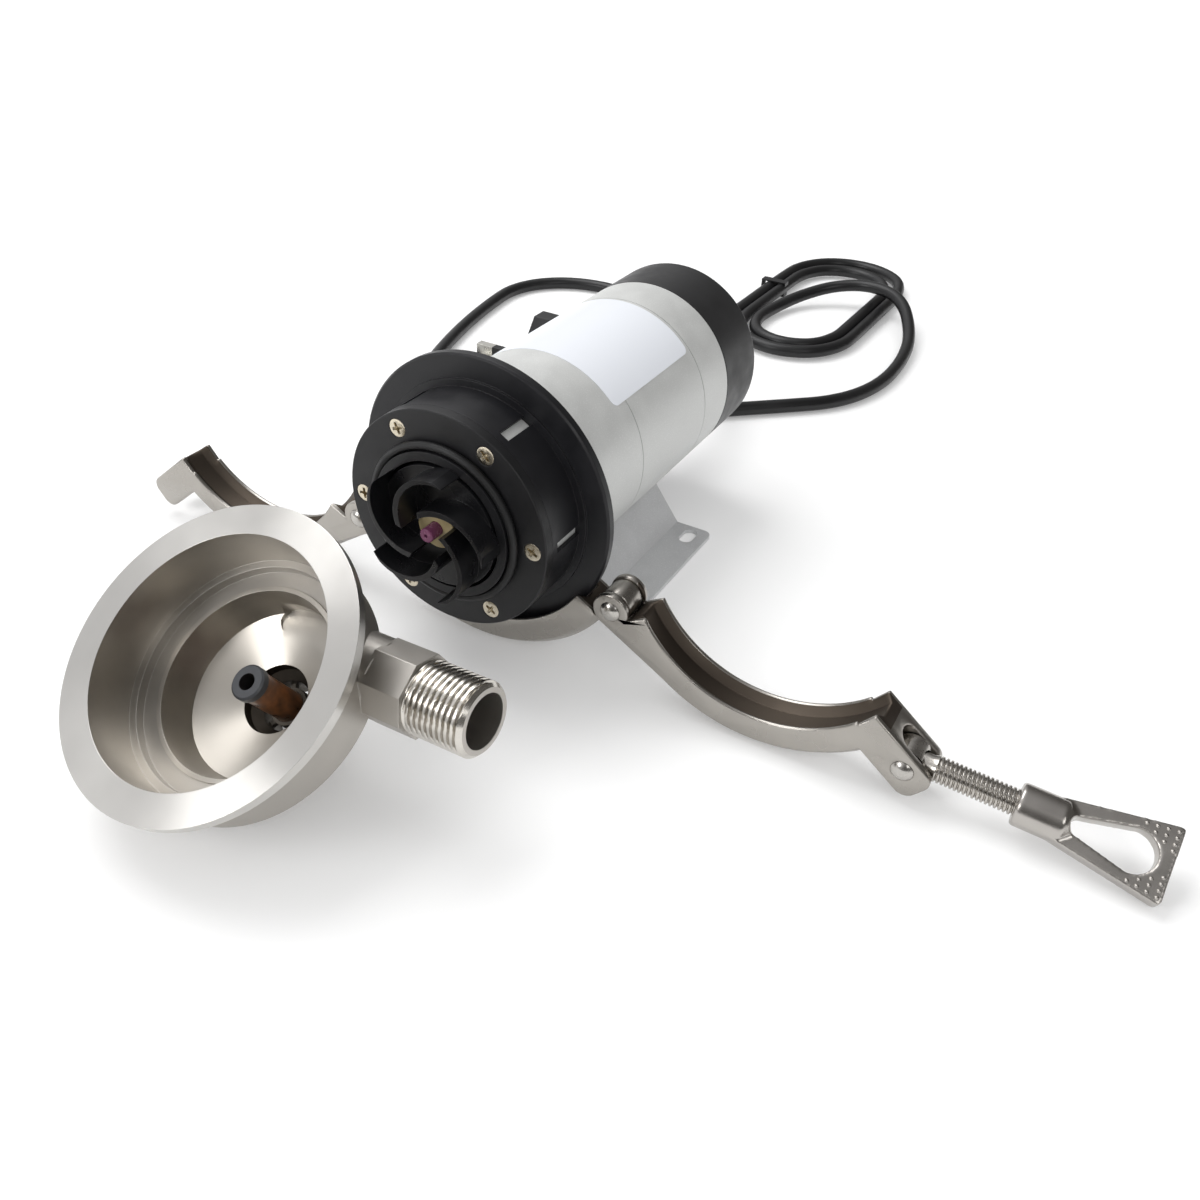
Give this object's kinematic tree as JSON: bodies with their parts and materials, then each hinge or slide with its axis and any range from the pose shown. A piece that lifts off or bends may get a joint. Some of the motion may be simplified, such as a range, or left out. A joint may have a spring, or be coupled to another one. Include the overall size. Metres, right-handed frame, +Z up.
{
  "type": "magnetic drive pump",
  "caption": "Magnetic coupling pump laid open: steel volute head with threaded ports, curved-vane impeller, mains motor on a slotted foot, and a hinged ring clamp with a wing nut.",
  "frame": {"origin": "centre of the four foot slots, on the surface that the foot stands on", "axes": "+Z up, +Y from the pump end to the rear of the motor, +X to the right seen from the pump end"},
  "size_m": [0.3838, 0.5619, 0.099],
  "materials": {
    "black_flange": "black, satin moulded",
    "black_plate": "black, satin moulded",
    "screw_steel": "small zinc-plated screw",
    "seal_rubber": "black rubber ring",
    "silver_casing": "fine silver-grey paint",
    "silver_bracket": "fine silver-grey paint",
    "black_cap": "black, satin moulded",
    "core_steel": "dull laminated steel",
    "copper_winding": "enamelled copper wire",
    "shaft_steel": "ground steel",
    "magnet": "dark grey magnet",
    "impeller_black": "black glass-filled plastic",
    "ivory_bush": "ivory bearing bush",
    "ceramic_shaft": "polished purple-grey ceramic",
    "clamp_steel": "polished cast stainless steel",
    "pin_steel": "polished stainless steel",
    "bolt_steel": "stainless steel with a thread",
    "nut_steel": "cast stainless steel",
    "head_steel": "turned stainless steel",
    "grey_bush": "dark grey bearing bush",
    "orange_sleeve": "orange-brown plastic sleeve",
    "cord_black": "black rubber sheath",
    "plug_black": "black moulded plug",
    "plug_metal": "bright plated brass"
  },
  "bodies": {
    "base": {"motor_flange": "black_flange", "separator_plate": "black_plate", "plate_screws": "screw_steel", "plate_o_ring": "seal_rubber", "front_housing": "silver_casing", "stator_shell": "silver_casing", "rear_bell": "silver_casing", "rear_cap": "black_cap", "stator_core": "core_steel", "stator_windings": "copper_winding", "bearing_outer_rings": "shaft_steel", "pump_shaft": "ceramic_shaft", "clamp_middle": "clamp_steel", "hinge_pins": "pin_steel", "foot_bracket": "silver_bracket", "bracket_screws": "screw_steel", "cord_gland": "cord_black", "power_cord_near": "cord_black", "power_cord_far": "cord_black", "power_cord_hank": "cord_black", "cord_tie": "cord_black", "plug_body": "plug_black", "plug_pins": "plug_metal", "plug_pin_sleeves": "plug_black"},
    "rotor": {"rotor_core": "core_steel", "motor_shaft": "shaft_steel", "bearing_inner_rings": "shaft_steel", "bearing_balls": "shaft_steel", "cooling_fan": "black_cap", "drive_magnet_cup": "core_steel", "drive_magnets": "magnet"},
    "impeller": {"impeller": "impeller_black", "impeller_magnet": "magnet", "impeller_bush": "ivory_bush"},
    "arm_left": {"clamp_arm_left": "clamp_steel"},
    "arm_right": {"clamp_arm_right": "clamp_steel", "swing_bolt_pin": "pin_steel"},
    "bolt": {"swing_bolt": "bolt_steel"},
    "nut": {"wing_nut": "nut_steel"},
    "head": {"pump_head": "head_steel", "head_bush": "grey_bush", "head_sleeve": "orange_sleeve"}
  },
  "joints": [
    {"name": "rotor_spin", "type": "hinge", "parent": "base", "child": "rotor", "pos_m": [0, 0, 0.0535], "axis": [0, 1, 0], "continuous": true},
    {"name": "impeller_spin", "type": "hinge", "parent": "base", "child": "impeller", "pos_m": [0, -0.0815, 0.0535], "axis": [0, 1, 0], "continuous": true},
    {"name": "left_arm_hinge", "type": "hinge", "parent": "base", "child": "arm_left", "pos_m": [-0.04906, -0.0588, 0.03], "axis": [0, 1, 0], "range_deg": [0, 126.5]},
    {"name": "right_arm_hinge", "type": "hinge", "parent": "base", "child": "arm_right", "pos_m": [0.04906, -0.0588, 0.03], "axis": [0, -1, 0], "range_deg": [0, 126.5]},
    {"name": "bolt_swing", "type": "hinge", "parent": "arm_right", "child": "bolt", "pos_m": [0.1437, -0.0588, 0.01236], "axis": [0, -1, 0], "range_deg": [0, 54.4]},
    {"name": "nut_turn", "type": "hinge", "parent": "bolt", "child": "nut", "pos_m": [0.17864, -0.0588, 0.01041], "axis": [0.9984, 0, -0.0558], "continuous": true},
    {"name": "head_lift", "type": "slide", "parent": "base", "child": "head", "axis": [0, 0, 1], "range_m": [0, 0.12]}
  ],
  "couplings": [
    {"joint": "impeller_spin", "follows": "rotor_spin", "ratio": 1}
  ]
}
